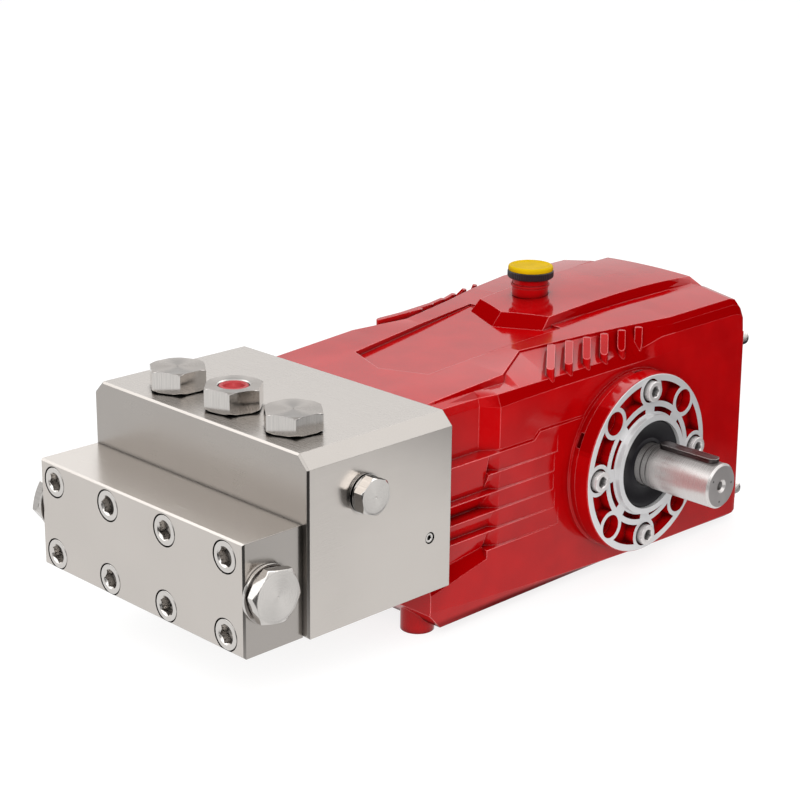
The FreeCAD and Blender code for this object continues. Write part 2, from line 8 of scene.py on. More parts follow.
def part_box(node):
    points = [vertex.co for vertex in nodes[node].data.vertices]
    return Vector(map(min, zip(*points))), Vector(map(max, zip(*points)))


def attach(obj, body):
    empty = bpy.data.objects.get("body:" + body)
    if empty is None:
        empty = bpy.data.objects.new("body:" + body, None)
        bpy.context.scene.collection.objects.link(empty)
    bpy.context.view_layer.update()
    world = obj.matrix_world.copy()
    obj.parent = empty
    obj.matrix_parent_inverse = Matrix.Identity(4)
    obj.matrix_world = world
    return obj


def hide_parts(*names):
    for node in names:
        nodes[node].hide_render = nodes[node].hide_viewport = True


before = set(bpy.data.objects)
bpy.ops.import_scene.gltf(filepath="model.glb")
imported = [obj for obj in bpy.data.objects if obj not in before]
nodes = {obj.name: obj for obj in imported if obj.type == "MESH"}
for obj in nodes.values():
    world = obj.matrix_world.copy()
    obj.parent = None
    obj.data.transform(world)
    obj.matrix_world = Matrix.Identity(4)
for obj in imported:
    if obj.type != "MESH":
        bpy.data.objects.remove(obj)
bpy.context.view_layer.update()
mm = 0.001
print("frame loaded:", len(nodes), "nodes")


# Camera where the photograph was taken from
view = {"place": (0.9764, -1.0748, 0.5960), "azimuth": 45.1587, "elevation": 17.9964, "roll": 0.6553,
        "lens": 87.06, "sensor": 36.0, "reach": 50.0}


def placeCamera():
    # back = (sin a cos e, -cos a cos e, sin e) points away from the pump; side and up are turned by the roll about it
    a, e, roll = (math.radians(view[k]) for k in ("azimuth", "elevation", "roll"))
    back = Vector((math.sin(a) * math.cos(e), -math.cos(a) * math.cos(e), math.sin(e)))
    side = Vector((0, 0, 1)).cross(back).normalized()
    up = back.cross(side)
    side, up = math.cos(roll) * side + math.sin(roll) * up, math.cos(roll) * up - math.sin(roll) * side
    data = bpy.data.cameras.new("photoCamera")
    data.lens, data.sensor_width, data.clip_end = view["lens"], view["sensor"], view["reach"]
    camera = bpy.data.objects.new("photoCamera", data)
    camera.matrix_world = Matrix.Translation(view["place"]) @ Matrix((side, up, back)).transposed().to_4x4()
    bpy.context.scene.collection.objects.link(camera)
    bpy.context.scene.camera = camera


# Node helpers, for a material or for the sky
class Graph:
    def __init__(self, owner, output="ShaderNodeOutputMaterial"):
        self.owner = owner
        owner.use_nodes = True
        self.tree = owner.node_tree
        self.tree.nodes.clear()
        self.output = self.add(output)

    def add(self, kind, settings=None, **inputs):
        # an input is given by its name, with _ for a space, or by its number, as i0
        node = self.tree.nodes.new(kind)
        for key, value in (settings or {}).items():
            setattr(node, key, value)
        for key, value in inputs.items():
            self.feed(node, key.replace("_", " "), value)
        return node

    def feed(self, node, key, value):
        socket = node.inputs[int(key[1:])] if key[0] == "i" and key[1:].isdigit() else node.inputs[key]
        if isinstance(value, bpy.types.NodeSocket):
            self.tree.links.new(value, socket)
        elif isinstance(value, bpy.types.Node):
            self.tree.links.new(value.outputs[0], socket)
        else:
            socket.default_value = value

    def math(self, operation, a, b=0.0):
        return self.add("ShaderNodeMath", {"operation": operation}, i0=a, i1=b).outputs[0]

    def times(self, a, b):
        return self.math("MULTIPLY", a, b)

    def total(self, a, b):
        return self.math("ADD", a, b)

    def vector(self, operation, a, b=(0, 0, 0)):
        # gives a number for a length, a distance or a dot product, and otherwise a vector
        node = self.add("ShaderNodeVectorMath", {"operation": operation}, i0=a, i1=b)
        return node.outputs["Value" if operation in ("LENGTH", "DISTANCE", "DOT_PRODUCT") else "Vector"]

    def along(self, vector, axis):
        return self.add("ShaderNodeSeparateXYZ", Vector=vector).outputs[axis]

    def mix(self, factor, a, b):
        # of two colours
        return self.add("ShaderNodeMix", {"data_type": "RGBA"}, i0=factor, i6=a, i7=b).outputs[2]

    def blend(self, factor, a, b):
        # of two numbers
        return self.add("ShaderNodeMix", i0=factor, i2=a, i3=b).outputs[0]

    def either(self, factor, a, b):
        # of two shaders
        return self.add("ShaderNodeMixShader", i0=factor, i1=a, i2=b)

    def span(self, value, low, high, toLow=0.0, toHigh=1.0, smooth=False):
        settings = {"clamp": True, "interpolation_type": "SMOOTHSTEP" if smooth else "LINEAR"}
        return self.add("ShaderNodeMapRange", settings, i0=value, i1=low, i2=high, i3=toLow, i4=toHigh).outputs[0]

    def place(self, scale=None):
        # the piece's own coordinates, stretched to these lengths where a scale is given
        coordinate = self.add("ShaderNodeTexCoord").outputs["Object"]
        if scale is None:
            return coordinate
        return self.add("ShaderNodeMapping", {"vector_type": "TEXTURE"}, Vector=coordinate, Scale=scale).outputs[0]

    def noise(self, vector, scale, detail):
        return self.add("ShaderNodeTexNoise", Vector=vector, Scale=scale, Detail=detail).outputs[0]

    def spread(self, noise, middle, give):
        # a noise brought to middle - give ... middle + give
        return self.span(noise, *noiseRange, middle - give, middle + give)

    def rings(self, distance, perMetre, detail):
        # noise along one line, for the grooves that a lathe leaves
        return self.add("ShaderNodeTexNoise", {"noise_dimensions": "1D"}, W=self.times(distance, perMetre), Scale=1.0,
                        Detail=detail).outputs[0]

    def facing(self, kind="True Normal"):
        return self.add("ShaderNodeNewGeometry").outputs[kind]

    def corner(self, reach):
        # 1 in the open, towards 0 in corners and under overhangs
        return self.add("ShaderNodeAmbientOcclusion", {"samples": 6}, Distance=reach * mm).outputs["AO"]

    def bevel(self, radius):
        return self.add("ShaderNodeBevel", {"samples": 6}, Radius=radius * mm).outputs[0]

    def bump(self, height, distance, strength, normal):
        return self.add("ShaderNodeBump", Height=height, Distance=distance * mm, Strength=strength,
                        Normal=normal).outputs[0]

    def surface(self, **inputs):
        return self.add("ShaderNodeBsdfPrincipled", **inputs)

    def finish(self, shader):
        self.feed(self.output, "Surface", shader)
        return self.owner


def newMaterial(name):
    return Graph(bpy.data.materials.new(name))


def toned(colour, factor):
    return tuple(c * factor for c in colour[:3]) + (1,)


def fromMm(sizes):
    return tuple(v * mm for v in sizes)


noiseRange = (0.3, 0.7)  # nearly all of a noise lies between these
noiseMiddle = (0.35, 0.65)  # most of it does, for a stronger contrast

# Steel
steel = {"zinc": (0.66, 0.63, 0.62, 1), "key": (0.085, 0.074, 0.073, 1), "turned": (0.36, 0.335, 0.314, 1),
         "bright": (0.720, 0.69, 0.66, 1)}
ground = {"colour": (0.640, 0.598, 0.560, 1), "cloud": (0.3, 0.29, 0.27, 1), "cloudShare": 0.06, "cloudScale": 14.0,
          "paintedShade": (0.02, 0.02, 0.019, 1), "paintedShadeReach": 7, "paintedShadeSpan": (0.36, 0.62), "square": 0.85, "slant": 0.4,
          "scratchLong": 30, "scratchWide": 0.22, "scratchDepth": 0.003, "cloudGive": 0.02, "scratchGive": 0.025,
          "edge": 0.4}


def groundSteel(name, faceShades, roughs):
    # surface-ground stainless: the scratches run along X, and along Y on the end faces; roughs go with the faces
    # across X, across Y and across Z; the five tones are painted light and shade, a lighter or darker copy of the
    # steel for the faces across X, across Y and across Z and for the front and side chamfers, as the light falls on
    # them
    g = newMaterial(name)
    long, wide = ground["scratchLong"], ground["scratchWide"]
    alongX = g.noise(g.place(fromMm((long, wide, wide))), 1.0, 3.0)
    alongY = g.noise(g.place(fromMm((wide, long, wide))), 1.0, 3.0)
    turned = [g.math("ABSOLUTE", g.along(g.facing(), axis)) for axis in range(3)]
    isEnd, isFront, isTop = (g.math("GREATER_THAN", t, ground["square"]) for t in turned)
    isChamfer = g.math("SUBTRACT", 1.0, g.total(isTop, g.total(isEnd, isFront)))
    scratch = g.mix(isEnd, alongX, alongY)
    cloud = g.noise(g.place(), ground["cloudScale"], 3.0)
    # painted light and shade: one lighter or darker copy of the steel for each way a face turns
    end, front, top, frontChamfer, sideChamfer = (toned(ground["colour"], t) for t in faceShades)
    chamfer = g.mix(g.math("GREATER_THAN", turned[0], ground["slant"]), frontChamfer, sideChamfer)
    tint = g.mix(isChamfer, g.mix(isEnd, g.mix(isFront, top, front), end), chamfer)
    # painted shade: the steel goes towards a dark colour where it is occluded, in corners and at the joints between
    # parts
    tint = g.mix(g.span(g.corner(ground["paintedShadeReach"]), *ground["paintedShadeSpan"]), ground["paintedShade"], tint)
    tint = g.mix(g.span(cloud, *noiseMiddle, 0.0, ground["cloudShare"]), tint, ground["cloud"])
    endRough, frontRough, topRough = roughs
    rough = g.total(g.times(isEnd, endRough - topRough), g.times(isFront, frontRough - topRough))
    rough = g.total(rough, g.spread(cloud, topRough, ground["cloudGive"]))
    rough = g.total(rough, g.spread(scratch, 0, ground["scratchGive"]))
    return g.finish(g.surface(Base_Color=tint, Metallic=1.0, Roughness=rough,
                              Normal=g.bump(scratch, ground["scratchDepth"], 0.2, g.bevel(ground["edge"]))))


lathe = {"tone": "turned", "roughness": 0.32, "flat": 0.16, "band": None, "rings": 2600.0, "anisotropy": 0.92,
         "edge": 0.2, "reach": 0.8, "gap": (0.02, 0.02, 0.02, 1), "gapReach": 2.5, "gapSpan": (0.2, 0.6),
         "streakLong": 30, "streakWide": 0.5, "streakTone": 0.85, "cloudScale": 60.0, "ringGive": 0.05,
         "cloudGive": 0.03, "flatGive": 0.04}
# the axis that a piece faces along, and the two directions that it is turned through round it
sides = {"up": ((0, 0, 1), (1, 0, 0), (0, 1, 0)), "right": ((1, 0, 0), (0, 0, -1), (0, 1, 0)),
         "left": ((-1, 0, 0), (0, 0, 1), (0, 1, 0)), "front": ((0, -1, 0), (1, 0, 0), (0, 0, 1)),
         "rear": ((0, 0.99972, 0.02341), (1, 0, 0), (0, 0.02341, -0.99972))}


def turnedSteel(name, spot, side, look):
    # lathe-turned metal: on faces across the axis the grain runs round it, the flats are milled along it; painted
    # shade darkens it in gaps and corners; look changes values of the lathe's, and its band is a dark seal ring
    # between two heights, in the same dark colour as that shade
    look = {**lathe, **look}
    g = newMaterial(name)
    axis = sides[side][0]
    offset = g.vector("SUBTRACT", g.place(), fromMm(spot))
    around = g.vector("CROSS_PRODUCT", axis, offset)
    tangent = g.add("ShaderNodeVectorTransform",
                    {"vector_type": "VECTOR", "convert_from": "OBJECT", "convert_to": "WORLD"}, Vector=around)
    rings = g.rings(g.vector("LENGTH", around), look["rings"], 2.0)
    cloud = g.noise(g.place(), look["cloudScale"], 2.0)
    rough = g.total(g.spread(rings, look["roughness"], look["ringGive"]), g.spread(cloud, 0, look["cloudGive"]))
    normal = g.bevel(look["edge"])
    # painted shade: towards the dark colour where the piece is occluded, in gaps and corners; the band is the seal
    # ring
    clear = g.span(g.corner(look["gapReach"]), *look["gapSpan"])
    if look["band"]:
        height = g.vector("DOT_PRODUCT", offset, axis)
        low, high = fromMm(look["band"])
        clear = g.times(clear, g.total(g.math("LESS_THAN", height, low), g.math("GREATER_THAN", height, high)))
    streak = g.noise(g.place(fromMm(look["streakLong"] if abs(v) > 0.5 else look["streakWide"] for v in axis)),
                     1.0, 3.0)
    milled = g.mix(g.span(streak, *noiseMiddle), toned(steel["bright"], look["streakTone"]), steel["bright"])
    turned = g.surface(Base_Color=g.mix(clear, look["gap"], steel[look["tone"]]), Metallic=1.0, Roughness=rough,
                       Anisotropic=look["anisotropy"], Tangent=tangent, Normal=normal)
    flat = g.surface(Base_Color=g.mix(clear, look["gap"], milled), Metallic=1.0,
                     Roughness=g.spread(cloud, look["flat"], look["flatGive"]), Normal=normal)
    across = g.math("ABSOLUTE", g.vector("DOT_PRODUCT", g.facing(), axis))
    return g.finish(g.either(g.math("GREATER_THAN", across, look["reach"]), flat, turned))


shaft = {"tint": (0.65, 0.62, 0.605, 1), "pale": (0.70, 0.67, 0.655, 1), "metal": 0.74, "roughness": (0.25, 0.31),
         "rings": 3200.0, "lines": (121.9, 127.2), "lineTint": (0.12, 0.11, 0.11, 1), "lineSpan": (0.3, 0.8),
         "topShadeTint": (0.12, 0.105, 0.10, 1), "topShadeSpan": (0.45, 0.92), "topShadeShare": 0.8, "edge": 0.25,
         "endTint": (0.31, 0.29, 0.285, 1), "endPale": (0.38, 0.355, 0.35, 1), "endMetal": 0.5,
         "endRoughness": (0.3, 0.4), "endAt": 186.1, "markTurns": (2, -98, 150), "markCircle": 12,
         "markTint": (0.03, 0.028, 0.028, 1), "markSpan": (0.5, 1.1), "cloudScale": 50.0, "reach": 0.9}


def shaftSteel(name, centre):
    # the round of the shaft has faint lathe rings, two dark lines near the seal, and painted shade on its upper side,
    # a dark reflection painted into its colour; its end is plain grey with three small dark marks, at centre + circle
    # * (cos turn, sin turn)
    g = newMaterial(name)
    x = g.along(g.place(), 0)
    rings = g.rings(x, shaft["rings"], 3.0)
    cloud = g.noise(g.place(), shaft["cloudScale"], 2.0)
    tint = g.mix(g.span(rings, *noiseMiddle), shaft["tint"], shaft["pale"])
    for line in shaft["lines"]:
        near = g.math("ABSOLUTE", g.math("SUBTRACT", x, line * mm))
        tint = g.mix(g.span(near, *fromMm(shaft["lineSpan"])), shaft["lineTint"], tint)
    # painted shade: the upper side of the round is darkened, a dark reflection painted into its colour
    shadeOnTop = g.span(g.along(g.facing("Normal"), 2), *shaft["topShadeSpan"], 0.0, shaft["topShadeShare"])
    tint = g.mix(shadeOnTop, tint, shaft["topShadeTint"])
    side = g.surface(Base_Color=tint, Metallic=shaft["metal"],
                     Roughness=g.span(rings, *noiseRange, *shaft["roughness"]),
                     Normal=g.bump(rings, 0.001, 0.08, g.bevel(shaft["edge"])))
    grey = g.mix(g.span(cloud, *noiseMiddle), shaft["endTint"], shaft["endPale"])
    for turn in shaft["markTurns"]:
        a, circle = math.radians(turn), shaft["markCircle"] * mm
        spot = (shaft["endAt"] * mm, centre[1] + circle * math.cos(a), centre[2] + circle * math.sin(a))
        away = g.vector("DISTANCE", g.place(), spot)
        grey = g.mix(g.span(away, *fromMm(shaft["markSpan"])), shaft["markTint"], grey)
    end = g.surface(Base_Color=grey, Metallic=shaft["endMetal"], Normal=g.bevel(shaft["edge"]),
                    Roughness=g.span(cloud, *noiseRange, *shaft["endRoughness"]))
    across = g.math("ABSOLUTE", g.along(g.facing(), 0))
    return g.finish(g.either(g.math("GREATER_THAN", across, shaft["reach"]), side, end))


screw = {"grain": 220.0, "grainDepth": 0.02, "socketShadeReach": 8, "socketShadeSpan": (0.3, 0.72), "socketShadeTone": 0.08, "edge": 0.25}


def screwSteel(name, tone, roughness, metal):
    # machined steel of the screws, darkened by painted shade down in their sockets and in the gaps round their heads
    g = newMaterial(name)
    grain = g.noise(g.place(), screw["grain"], 3.0)
    # painted shade: dark where the screw is occluded, in its socket and beside the casting
    sink = g.span(g.corner(screw["socketShadeReach"]), *screw["socketShadeSpan"])
    tint = g.mix(sink, toned(steel[tone], screw["socketShadeTone"]), steel[tone])
    return g.finish(g.surface(Base_Color=tint, Metallic=metal, Roughness=g.span(grain, *noiseRange, *roughness),
                              Normal=g.bump(grain, screw["grainDepth"], 0.2, g.bevel(screw["edge"]))))


keyStock = {"roughness": (0.25, 0.35), "streak": (14, 0.5, 0.5), "streakDepth": 0.005, "streakTone": 1.9,
            "streakSpan": (0.4, 0.65), "edgeHighlight": (0.90, 0.98), "edge": 0.5}


def drawnSteel(name):
    # dark key stock, drawn along its length, with a painted highlight of bright steel on its edges
    g = newMaterial(name)
    streak = g.noise(g.place(fromMm(keyStock["streak"])), 1.0, 3.0)
    soft = g.bevel(keyStock["edge"])
    bent = g.vector("DOT_PRODUCT", soft, g.facing())
    tint = g.mix(g.span(streak, *keyStock["streakSpan"]), steel["key"], toned(steel["key"], keyStock["streakTone"]))
    # painted highlight: the bevelled edges are tinted bright steel
    tint = g.mix(g.span(bent, *keyStock["edgeHighlight"], 1.0, 0.0), tint, steel["bright"])
    return g.finish(g.surface(Base_Color=tint, Metallic=1.0,
                              Roughness=g.span(streak, *noiseRange, *keyStock["roughness"]),
                              Normal=g.bump(streak, keyStock["streakDepth"], 0.2, soft)))


# Paint. The spans of rise are of the surface's upward slant: -1 faces down, 0 is a wall, 1 faces up
paint = {"red": (0.385, 0.0012, 0.002, 1), "deep": (0.32, 0.0006, 0.0015, 1), "slope": (0.25, 0.0003, 0.0008, 1),
         "corner": (0.11, 0.0002, 0.0005, 1), "edge": (0.80, 0.18, 0.18, 1), "foot": (0.10, 0.0002, 0.0006, 1),
         "wave": 38.0, "peel": 420.0, "waveShare": 0.8, "leaning": (0.25, 0.35), "level": (0.735, 0.775),
         "cornerShadeReach": 6, "cornerShadeSpan": (0.36, 0.86), "highlightBend": (0.93, 0.99), "highlightOpen": (0.8, 0.97), "highlight": 0.85,
         "topGloss": 0.5, "wallGloss": 0.25, "underRise": (-0.4, -0.1), "underGloss": 0.5,
         "footHeight": (12, 16), "footRise": (-0.3, -0.1), "footGloss": 0.1, "roughness": (0.07, 0.13), "depth": 0.25}


def redPaint(g, edge):
    # glossy red enamel on a casting: slow waviness and fine peel; painted shade darkens it on the slopes and in the
    # corners, a painted highlight lightens it on the edges, and it is duller on the slopes and walls
    wave = g.noise(g.place(), paint["wave"], 2.0)
    peel = g.noise(g.place(), paint["peel"], 2.0)
    height = g.total(g.times(wave, paint["waveShare"]), g.times(peel, 1 - paint["waveShare"]))
    tint = g.mix(g.span(wave, *noiseRange), paint["red"], paint["deep"])
    flat = g.facing()
    rise = g.along(flat, 2)
    # painted shade: faces slanting between a wall and a level top are tinted darker
    slope = g.times(g.span(rise, *paint["leaning"]), g.span(rise, *paint["level"], 1.0, 0.0))
    tint = g.mix(slope, tint, paint["slope"])
    # painted shade: the red goes towards the dark corner colour where the paint is occluded, in corners, grooves and
    # recesses
    corner = g.corner(paint["cornerShadeReach"])
    tint = g.mix(g.span(corner, *paint["cornerShadeSpan"]), paint["corner"], tint)
    soft = g.bevel(edge)
    bent = g.vector("DOT_PRODUCT", soft, flat)
    # painted highlight: light red on the convex edges, where the bevelled normal bends away from the face and the edge
    # is open
    highlight = g.times(g.span(bent, *paint["highlightBend"], paint["highlight"], 0.0), g.span(corner, *paint["highlightOpen"]))
    tint = g.mix(highlight, tint, paint["edge"])
    gloss = g.math("MAXIMUM", g.span(rise, *paint["level"], 0.0, paint["topGloss"]),
                   g.span(rise, *paint["leaning"], paint["wallGloss"], 0.0))
    # painted shade: the lowest slopes, which face the floor, are darker and duller
    foot = g.times(g.span(g.along(g.place(), 2), *fromMm(paint["footHeight"]), 1.0, 0.0),
                   g.span(rise, *paint["footRise"], 1.0, 0.0))
    tint = g.mix(foot, tint, paint["foot"])
    gloss = g.times(gloss, g.span(foot, 0.0, 1.0, 1.0, paint["footGloss"]))
    gloss = g.times(gloss, g.span(rise, *paint["underRise"], paint["underGloss"], 1.0))
    return g.surface(Base_Color=tint, Roughness=g.span(peel, *noiseRange, *paint["roughness"]), IOR=1.5,
                     Specular_IOR_Level=gloss, Normal=g.bump(height, paint["depth"], 0.3, soft))


def castPaint(name, edge):
    g = newMaterial(name)
    return g.finish(redPaint(g, edge))


flange = {"axis": (50.4, 91.3), "circle": 58.5, "bareFrom": 115.7, "bare": (0.66, 0.655, 0.66, 1), "metal": 0.45,
          "roughness": (0.3, 0.42), "scratch": (1000, 0.3, 8), "edge": 0.3, "paintEdge": 0.5}


def flangePaint(name, way):
    # red paint with the face and hub end machined bare
    g = newMaterial(name)
    isBare = g.math("GREATER_THAN", g.times(g.along(g.place(), 0), way), flange["bareFrom"] * mm)
    scratch = g.noise(g.place(fromMm(flange["scratch"])), 1.0, 2.0)
    metal = g.surface(Base_Color=flange["bare"], Metallic=flange["metal"], Normal=g.bevel(flange["edge"]),
                      Roughness=g.span(scratch, *noiseRange, *flange["roughness"]))
    return g.finish(g.either(isBare, redPaint(g, flange["paintEdge"]), metal))


moulded = {"grain": 900.0, "grainDepth": 0.03, "grainGive": 0.06, "cloud": 90.0, "cloudTone": 0.85,
           "cornerShadeReach": 6, "cornerShadeSpan": (0.35, 0.8), "cornerShadeTone": 0.3}


def softPlastic(name, look):
    # moulded plastic or rubber with a fine skin, a little darker in clouds, and much darker in corners through painted
    # shade
    g = newMaterial(name)
    grain = g.noise(g.place(), moulded["grain"], 2.0)
    cloud = g.noise(g.place(), moulded["cloud"], 2.0)
    tint = g.mix(g.span(cloud, *noiseRange), look["colour"], toned(look["colour"], moulded["cloudTone"]))
    # painted shade: much darker where the piece is occluded
    corner = g.span(g.corner(moulded["cornerShadeReach"]), *moulded["cornerShadeSpan"])
    tint = g.mix(corner, toned(look["colour"], moulded["cornerShadeTone"]), tint)
    return g.finish(g.surface(Base_Color=tint, Specular_IOR_Level=look["gloss"],
                              Roughness=g.spread(grain, look["roughness"], moulded["grainGive"]),
                              Normal=g.bump(grain, moulded["grainDepth"], 0.3, g.bevel(look["edge"]))))


# Pieces turned on a lathe: a profile of (radius, height, cut, rib) rows, in millimetres, is carried round an axis.
# point(i, a) = centre + height(i) * axis + r(i, a) * (cos a * first + sin a * second)
# r = radius(i), or the smaller (cut 1) or larger (cut 2) of that and flats / 2 / cos(((a - turn) mod 60) - 30),
# less rib(i) * ribDepth * (1 - cos(ribs * a)) / 2
def carried(profile, centre, side, flats=0.0, turn=0.0, steps=96, ribs=0, ribDepth=0.0, closed=False):
    rows = np.array([tuple(row) + (0,) * (4 - len(row)) for row in profile], float)
    axis, first, second = (np.array(v, float) for v in sides[side])
    a = np.radians(turn) + np.arange(steps) * 2 * np.pi / steps
    flat = flats / 2 / np.cos((a - np.radians(turn)) % np.radians(60) - np.radians(30))
    cut = rows[:, 2:3]
    r = np.repeat(rows[:, :1], steps, 1)
    r = np.where(cut == 1, np.minimum(r, flat), np.where(cut == 2, np.maximum(r, flat), r))
    r = r - rows[:, 3:4] * ribDepth * (0.5 - 0.5 * np.cos(ribs * a))
    around = np.cos(a)[:, None] * first + np.sin(a)[:, None] * second
    grid = np.array(centre, float) + rows[:, 1][:, None, None] * axis + r[:, :, None] * around
    i, j = np.meshgrid(np.arange(len(rows) - (0 if closed else 1)), np.arange(steps), indexing="ij")
    k, n = (j + 1) % steps, (i + 1) % len(rows)
    quads = np.stack([i * steps + j, i * steps + k, n * steps + k, n * steps + j], -1).reshape(-1, 4)
    return grid.reshape(-1, 3), quads


def wound(points, quads):
    # six times the volume = sum of a . (b x c) over the triangles; below zero the faces point inwards
    a, b, c, d = (points[quads[:, i]] for i in range(4))
    volume = (a * np.cross(b, c)).sum() + (a * np.cross(c, d)).sum()
    return quads if volume > 0 else quads[:, ::-1]


meshing = {"weld": 1e-6, "sharp": 28}


def makePiece(name, parts, material, replaced=()):
    # joins the parts, closes their poles and puts the piece on the pump
    points, quads, start = [], [], 0
    for p, q in parts:
        points.append(p)
        quads.append(wound(p - p.mean(0), q) + start)
        start += len(p)
    data = bpy.data.meshes.new(name)
    data.from_pydata((np.concatenate(points) * mm).tolist(), [], np.concatenate(quads).tolist())
    mesh = bmesh.new()
    mesh.from_mesh(data)
    bmesh.ops.remove_doubles(mesh, verts=mesh.verts, dist=meshing["weld"])
    mesh.to_mesh(data)
    mesh.free()
    data.shade_smooth()
    data.set_sharp_from_angle(angle=math.radians(meshing["sharp"]))
    data.materials.append(material)
    piece = bpy.data.objects.new(name, data)
    bpy.context.scene.collection.objects.link(piece)
    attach(piece, "pump")
    if replaced:
        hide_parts(*replaced)


def rounded(r, z, radius, start, stop, steps=5):
    # rounding of an edge: (r + radius * cos v, z + radius * sin v), v from start to stop in degrees
    t = np.radians(np.linspace(start, stop, steps))
    return [(r + radius * math.cos(v), z + radius * math.sin(v)) for v in t]


# Hexagon plugs. collar is a radius and a height, shank a radius and a length, and bore a radius and a depth;
# the corners are turned off by a cone, from narrow to wide times their radius, that widens cone mm in each mm
plug = {"flats": 38.0, "height": 14.5, "collar": (15.6, 1.0), "shank": (11.0, 12.0), "grooved": False, "bore": None,
        "cone": 1.7, "narrow": 0.9, "wide": 1.02, "faced": 0.93, "look": {}}
sidePlug = {**plug, "flats": 24.4, "height": 11.4, "collar": (14.0, 2.6), "shank": (6.5, 12.0), "grooved": True,
            "cone": 1.3, "narrow": 0.89, "turn": 10,
            "look": {"tone": "bright", "roughness": 0.22, "flat": 0.09, "band": (0.85, 2.5)}}
blockPlug = {**plug, "flats": 36.0, "height": 9.6, "collar": (17.4, 1.6), "narrow": 0.855, "turn": 20,
             "look": {"tone": "bright", "roughness": 0.22, "flat": 0.09}}
plugs = {"top_plug_left": {**plug, "side": "up", "spot": (-57.2, -268.0, 180.5), "turn": 26, "height": 16.2},
         "top_plug_right": {**plug, "side": "up", "spot": (65.2, -268.0, 180.5), "turn": 23},
         "outlet_adapter": {**plug, "side": "up", "spot": (4.0, -268.0, 180.5), "turn": 12.5, "height": 17.0,
                            "bore": (11.0, 9.0)},
         "side_plug_right": {**sidePlug, "side": "right", "spot": (114.0, -249.2, 143.6)},
         "side_plug_left": {**sidePlug, "side": "left", "spot": (-114.0, -249.2, 143.6)},
         "block_plug_right": {**blockPlug, "side": "right", "spot": (110.85, -330.5, 95.5)},
         "block_plug_left": {**blockPlug, "side": "left", "spot": (-114.65, -330.5, 95.5)}}


def plugProfile(p):
    # shank, collar, hexagon with its corners turned off by a cone at both ends, and a faced top or a bore;
    # on the cone r = corner * (narrow + (wide - narrow) * t) and z = collar height + rise * t, t from 0 to 1
    collarR, collarH = p["collar"]
    shankR, shankH = p["shank"]
    flats, height = p["flats"], p["height"]
    corner = flats / 2 / math.cos(math.radians(30))
    rise = (corner * p["wide"] - corner * p["narrow"]) / p["cone"]
    low = [(corner * (p["narrow"] + (p["wide"] - p["narrow"]) * t), collarH + rise * t, 1)
           for t in np.linspace(0, 1, 9)]
    high = [(r, height + collarH - z, 1) for r, z, cut in reversed(low)]
    rows = [(0, -shankH), (shankR, -shankH), (shankR, 0), (collarR - 0.3, 0), (collarR, 0.3)]
    if p["grooved"]:
        rows += [(collarR, 0.8), (collarR - 1.6, 0.9), (collarR - 1.6, 1.5), (collarR - 0.5, 1.6),
                 (collarR - 0.5, collarH)]
    else:
        rows += [(collarR, collarH)]
    faced = flats / 2 * p["faced"]
    rows += low + high + [(faced, height - 0.12), (faced - 0.8, height - 0.22)]
    if p["bore"]:
        boreR, boreH = p["bore"]
        return rows + [(boreR + 0.7, height - 0.25), (boreR, height - 0.95), (boreR, height - boreH),
                       (0, height - boreH)]
    return rows + [(flats * 0.2, height - 0.3), (0.9, height - 0.34), (0.35, height - 0.75), (0, height - 0.8)]


for name, p in plugs.items():
    hexagon = carried(plugProfile(p), p["spot"], p["side"], p["flats"], p["turn"], steps=144)
    makePiece(name + "_turned", [hexagon], turnedSteel(name, p["spot"], p["side"], p["look"]), (name,))
print("hexagon plugs are made")

# Socket screws. head is a radius and a height, shank a radius and a length, and flats the socket's width
boltSteel = screwSteel("boltSteel", "bright", (0.15, 0.26), 1.0)
zincSteel = screwSteel("zincSteel", "zinc", (0.25, 0.36), 0.5)
flangeY, flangeZ = flange["axis"]
crossWays = [(flangeY + flange["circle"] * y, flangeZ + flange["circle"] * z)
             for y, z in ((1, 0), (0, 1), (-1, 0), (0, -1))]
flangeScrew = {"head": (8.0, 10.0), "shank": (5.0, 26.0), "flats": 8.0, "steel": zincSteel}
rearCover = {"face": 198.5, "lean": 3.8, "height": 162.3, "seat": (5.5, 0.13)}  # y = face + lean * (1 - z / height)
screwSets = {
    "front_bolts": {"head": (10.8, 14.0), "shank": (7.0, 60.0), "flats": 12.0, "steel": boltSteel,
                    "sides": ["front"] * 8,
                    "spots": [(-3.3 + 61.96 * (i - 1.5), -335.2, z) for i in range(4) for z in (119.0, 64.8)]},
    "flange_bolts_right": {**flangeScrew, "sides": ["right"] * 4, "spots": [(110.6, y, z) for y, z in crossWays]},
    "flange_bolts_left": {**flangeScrew, "sides": ["left"] * 4, "spots": [(-110.6, y, z) for y, z in crossWays]},
    "side_screws": {"head": (3.5, 5.0), "shank": (3.5, 6.0), "flats": 3.4, "steel": boltSteel,
                    "sides": ["right", "left"], "spots": [(108.5, -186.6, 94.2), (-108.5, -186.6, 94.2)]},
    "rear_cover_bolts": {"head": (6.5, 7.95), "shank": (4.0, 5.5), "flats": 6.0, "steel": boltSteel,
                         "sides": ["rear"] * 6,
                         "spots": [(x, rearCover["face"] + rearCover["lean"] * (1 - z / rearCover["height"])
                                    + rearCover["seat"][0], z + rearCover["seat"][1])
                                   for x in (-83.5, 0, 83.5) for z in (21.5, 154.0)]}}
socket = {"mouth": 0.61, "sink": 0.115, "depth": 0.52, "wall": 0.4, "floor": 0.38, "drill": 0.2, "turn": 15,
          "eachTurn": 17, "knurls": 72, "knurlDepth": 0.14, "knurledFrom": 4.5}


